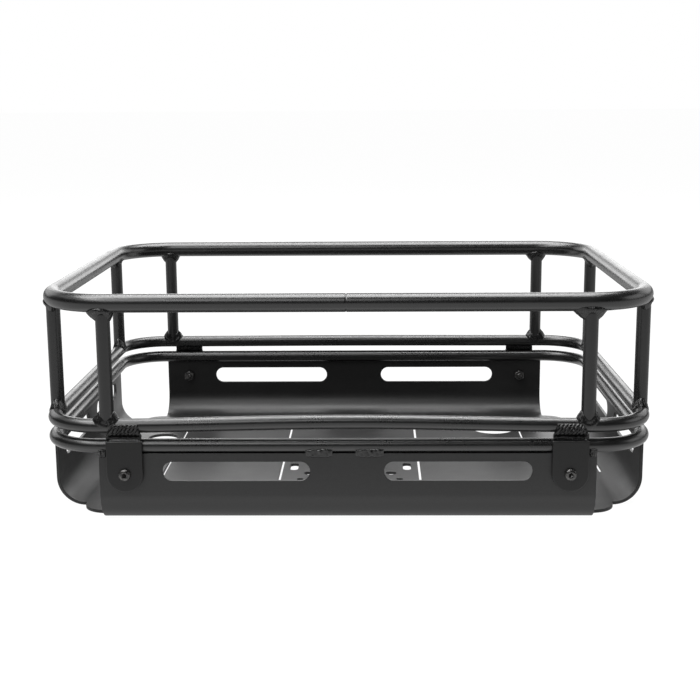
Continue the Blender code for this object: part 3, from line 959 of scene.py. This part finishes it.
def add_tab_weld(end, sy, side):
    """The tab's top is joined to the mid rail by a short bead of slanted ripples, over a
    rougher hollow that runs down behind the tab's top end."""
    tab_lo, tab_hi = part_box(f"tab_{end}_{side}")
    middle_x = (tab_lo.x + tab_hi.x) / 2
    half_tab = (tab_hi.x - tab_lo.x) / 2 - 0.0004
    half_bead = half_tab - 0.0030
    rail_z = mid.height(middle_x, sy * mid.half[1])
    high_z, low_z = rail_z + TOE_RISE, TAB_SHOULDER_Z - WELD_OVERLAP
    front_y = mid.half[1] + mid.r
    seed = middle_x * 130 + sy * 9.0

    def point(s, t):
        across = 2 * s - 1
        half = half_bead + (half_tab - half_bead) * min(1.0, t / 0.6) ** 3
        x = middle_x + across * half + 0.0004 * wobble(across * 2 + seed, t * 3, 0.0)
        z = high_z + (low_z - high_z) * t + 0.0006 * wobble(x * 400 + seed, 3.0, 0.0) * (1 - t)
        above = max(z - rail_z, 0.0)
        y = front_y - (mid.r - math.sqrt(max(mid.r ** 2 - above ** 2, 0.0))) + 0.0002
        ends = 1 - abs(across) ** 6
        phase = (x - middle_x - RIPPLE_LEAN * (z - low_z)) / RIPPLE_PITCH
        phase += 0.12 * wobble(x * 300, z * 300, seed)
        fade = max(0.0, 1 - (t / 0.66) ** 6) * min(1.0, t / 0.08)
        lump = (ripple(phase) - 0.5) * RIPPLE_HEIGHT * fade
        rough = 0.00030 * wobble(x * 900, z * 900, seed) + 0.00022 * wobble(x * 2200, z * 2200, seed)
        return Vector((x, sy * (y + (tab_weld_profile(t) + lump + rough) * ends), z))

    shape = bead_shape(point, TAB_WELD_FINENESS, Vector((0, sy, 0)), WELD_DEPTH, reverse=sy > 0)
    piece(shape, f"tab_{end}_{side}_weld", tab_weld_coat, "tab_coat", sharp_deg=BEAD_SHARP)


STITCH_FINENESS = (56, 14)
STITCH_DEPTH = 0.0015
# How far a stitch reaches down the flange from its top, and its upper toe under the rail's axis.
STITCH_BELOW = 0.0028
STITCH_TOE = 0.0017
STITCH_PITCH = 0.0042


def add_stitch(name, middle, length, along, out, seed):
    """A short bead between the rim rail and the top edge of the flange on the side that out
    points to."""
    low_z, high_z = tray_hi.z - STITCH_BELOW, rim.z - STITCH_TOE
    rail_axis, sheet_face = (rim.half[1], tray_hi.y) if out.y else (rim.half[0], tray_hi.x)
    high_out = rail_axis + math.sqrt(rim.r ** 2 - (high_z - rim.z) ** 2)

    def point(s, t):
        across = 2 * s - 1
        ragged = 0.0005 * wobble(across * 3 + seed, t * 2, 4.0)
        a = middle + across * length / 2 + ragged
        pinch = 1 - 0.25 * max(0.0, abs(across) - 0.6) / 0.4
        z_mid, z_half = (low_z + high_z) / 2, (high_z - low_z) / 2 * pinch
        z = z_mid - z_half + 2 * z_half * t + 0.0006 * wobble(across * 5 + seed, t * 2, 9.0)
        o = sheet_face + (high_out - sheet_face) * t
        edge = (1 - abs(across) ** 6) * min(1.0, t / 0.15, (1 - t) / 0.15) ** 0.6
        phase = across * length / 2 / STITCH_PITCH + 0.5 * t + 0.3 * wobble(across * 4, t, seed)
        lift = 0.0011 + 0.0007 * (dimes(phase) - 0.5) + 0.0006 * wobble(across * 3.3, t * 2.0, seed + 3)
        lift += 0.00018 * wobble(across * 16, t * 9, seed)
        return along * a + out * (o + lift * edge) + Vector((0, 0, z))

    shape = bead_shape(point, STITCH_FINENESS, out, STITCH_DEPTH, reverse=along.cross(out).z < 0)
    piece(shape, name, weld_coat, "tray_coat", sharp_deg=BEAD_SHARP)


# Each stitch's middle and length: the two on a long flange as seen from its own side, and the
# three on a short one.
LONG_STITCHES = (("a", -0.0240, 0.0230), ("b", 0.0196, 0.0243))
SHORT_STITCHES = (("a", -0.118, 0.020), ("b", 0.0, 0.022), ("c", 0.118, 0.020))
END_STITCH_LENGTH = 0.007


def add_stitches():
    """Two stitches in the middle of each long flange, one at each of its ends, and three
    along each short flange."""
    for end, sy in ENDS.items():
        along, out = Vector((1, 0, 0)), Vector((0, sy, 0))
        for label, middle, length in LONG_STITCHES:
            name, seed = f"stitch_{end}_{label}", middle * 90 + sy
            add_stitch(name, middle * -sy, length, along, out, seed)
        for side, sx in SIDES.items():
            name, seed = f"stitch_{end}_{side}_end", sx * 5 + sy
            middle = sx * (LONG_FLANGE_HALF[end] - END_STITCH_LENGTH / 2)
            add_stitch(name, middle, END_STITCH_LENGTH, along, out, seed)
    for side, sx in SIDES.items():
        along, out = Vector((0, 1, 0)), Vector((sx, 0, 0))
        for label, middle, length in SHORT_STITCHES:
            name, seed = f"stitch_{side}_{label}", middle * 70 + sx * 4
            add_stitch(name, middle, length, along, out, seed)


for end, sy in ENDS.items():
    for side in SIDES:
        add_tab(f"tab_{end}_{side}", sy)
        add_screw(end, sy, side)
        add_nut(end, sy, side)
        add_tab_weld(end, sy, side)
add_stitches()


# --- floor, light and camera ----------------------------------------------------------


FLOOR_HALF = 30.0
BELOW = 0.0002
# The floor's glow, which is painted light on the basket: low under the tray as a painted
# shadow, high beside it as a painted pool of light, and lower far off; the distances from
# the tray's edge over which it changes, and what the camera sees everywhere.
GLOW_UNDER, GLOW_NEAR, GLOW_FAR = 0.50, 0.95, 0.58
GLOW_RISE, GLOW_FALL = (-0.02, 0.03), (0.04, 0.13)
GLOW_SEEN = 0.985


def floor_glow_material():
    """A pale floor that glows a little, as painted light: brightest close round the basket as a painted
    pool of light, and dimmer under the tray as a painted shadow. The camera sees it evenly.
    """
    material = bpy.data.materials.new("floor_painted_glow")
    material.use_nodes = True
    n = Nodes(material.node_tree)
    shader = material.node_tree.nodes["Principled BSDF"]
    shader.inputs["Base Color"].default_value = grey(0.05)
    shader.inputs["Roughness"].default_value = 1.0
    shader.inputs["Specular IOR Level"].default_value = 0.0
    shader.inputs["Emission Color"].default_value = grey(1.0)
    spot = n.new("ShaderNodeSeparateXYZ", Vector=n.new("ShaderNodeNewGeometry").outputs["Position"])
    beyond = [
        n.maths("SUBTRACT", n.maths("ABSOLUTE", spot.outputs[axis], 0.0), half)
        for axis, half in enumerate((tray_hi.x, tray_hi.y))
    ]
    distance = n.maths("MAXIMUM", *beyond)
    # Painted shadow: under the tray the glow drops from GLOW_NEAR to GLOW_UNDER.
    shade = n.remap(distance, *GLOW_RISE, GLOW_UNDER - GLOW_NEAR, 0.0)
    # Painted pool of light: brightest just beside the tray, falling to GLOW_FAR further off.
    glow = n.maths("ADD", n.remap(distance, *GLOW_FALL, GLOW_NEAR, GLOW_FAR), shade)
    seen = n.new("ShaderNodeLightPath").outputs["Is Camera Ray"]
    n.feed(n.remap(seen, 0.0, 1.0, glow, GLOW_SEEN), shader.inputs["Emission Strength"])
    return material


def add_floor():
    mesh = bpy.data.meshes.new("floor")
    turns = ((-1, -1), (1, -1), (1, 1), (-1, 1))
    corners = [(sx * FLOOR_HALF, sy * FLOOR_HALF, -BELOW) for sx, sy in turns]
    mesh.from_pydata(corners, [], [(0, 1, 2, 3)])
    floor = bpy.data.objects.new("floor", mesh)
    bpy.context.scene.collection.objects.link(floor)
    mesh.materials.append(floor_glow_material())


CEILING = 2.4
LIGHT_DISTANCE = 2.8
BASKET_MIDDLE = Vector((0, 0, 0.1))


def soft_light(name, spot, target, size, power):
    lamp = bpy.data.lights.new(name, "AREA")
    lamp.shape = "RECTANGLE"
    lamp.size, lamp.size_y = size
    lamp.energy = power
    obj = bpy.data.objects.new(name, lamp)
    bpy.context.scene.collection.objects.link(obj)
    obj.location = spot
    obj.rotation_euler = (Vector(target) - Vector(spot)).to_track_quat("-Z", "Y").to_euler()
    obj.visible_camera = False


def ceiling_light(name, x, y, size, power):
    soft_light(name, (x, y, CEILING), (x, y, 0), size, power)


def wall_light(name, azimuth, height, size, power):
    """A light that faces the basket from its azimuth, 0 in front and 90 at its right, and
    from so many degrees above the floor."""
    a, e = math.radians(azimuth), math.radians(height)
    way = Vector((math.cos(e) * math.sin(a), -math.cos(e) * math.cos(a), math.sin(e)))
    soft_light(name, BASKET_MIDDLE + way * LIGHT_DISTANCE, BASKET_MIDDLE, size, power)


def add_lights():
    ceiling_light("ceiling_middle", 0.0, 0.0, (1.6, 1.2), 42)
    ceiling_light("ceiling_left", -1.3, -0.2, (1.0, 1.2), 26)
    ceiling_light("ceiling_front", -1.2, -1.4, (1.0, 1.0), 14)
    ceiling_light("ceiling_strip", -0.1, 0.95, (2.6, 0.35), 30)
    wall_light("back_low", 180, 8, (2.2, 0.6), 4.5)
    wall_light("back_inner_right", 163, 12, (1.1, 0.9), 5.5)
    wall_light("back_inner_left", 197, 12, (1.1, 0.9), 5.5)
    wall_light("back_high", 180, 24, (2.2, 0.7), 5.5)
    wall_light("back_top", 180, 57, (2.2, 1.0), 20.0)
    wall_light("back_left", -135, 20, (1.8, 1.2), 9.0)
    wall_light("back_right", 135, 20, (1.8, 1.2), 8.0)
    wall_light("right_side", 90, 20, (1.8, 1.2), 7.0)
    wall_light("left_side", -90, 40, (1.6, 0.9), 3.0)
    wall_light("front_left", -45, 42, (1.2, 0.8), 6.5)
    wall_light("front_middle", -15, 40, (1.2, 0.8), 8.0)


AMBIENT = 0.02


def add_world():
    """White where the camera sees it, and nearly dark to everything else."""
    world = bpy.data.worlds.new("studio")
    world.use_nodes = True
    bpy.context.scene.world = world
    n = Nodes(world.node_tree)
    path = n.new("ShaderNodeLightPath").outputs["Is Camera Ray"]
    back = world.node_tree.nodes["Background"]
    n.feed(n.blend(path, grey(AMBIENT), grey(1.0)), back.inputs["Color"])


add_floor()
add_lights()
add_world()

CAMERA_AT = (0.0237, -1.2635, 0.366)
CAMERA_YAW, CAMERA_PITCH, CAMERA_ROLL = -0.0192, 0.1965, -0.0066
FOCAL_PIXELS = 1280.7
PICTURE_SIDE = 700


def add_camera():
    data = bpy.data.cameras.new("camera")
    data.sensor_width = 36.0
    data.lens = FOCAL_PIXELS * data.sensor_width / PICTURE_SIDE
    camera = bpy.data.objects.new("camera", data)
    bpy.context.scene.collection.objects.link(camera)
    level = math.cos(CAMERA_PITCH)
    ahead = Vector((math.sin(CAMERA_YAW) * level, math.cos(CAMERA_YAW) * level, -math.sin(CAMERA_PITCH)))
    right = Vector((math.cos(CAMERA_YAW), -math.sin(CAMERA_YAW), 0))
    up = right.cross(ahead)
    c, s = math.cos(CAMERA_ROLL), math.sin(CAMERA_ROLL)
    axes = (right * c + up * s, up * c - right * s, -ahead)
    turn = Matrix(axes).transposed()
    camera.matrix_world = Matrix.Translation(CAMERA_AT) @ turn.to_4x4()
    bpy.context.scene.camera = camera


add_camera()
bpy.context.scene.view_settings.view_transform = "Standard"

bpy.context.view_layer.update()
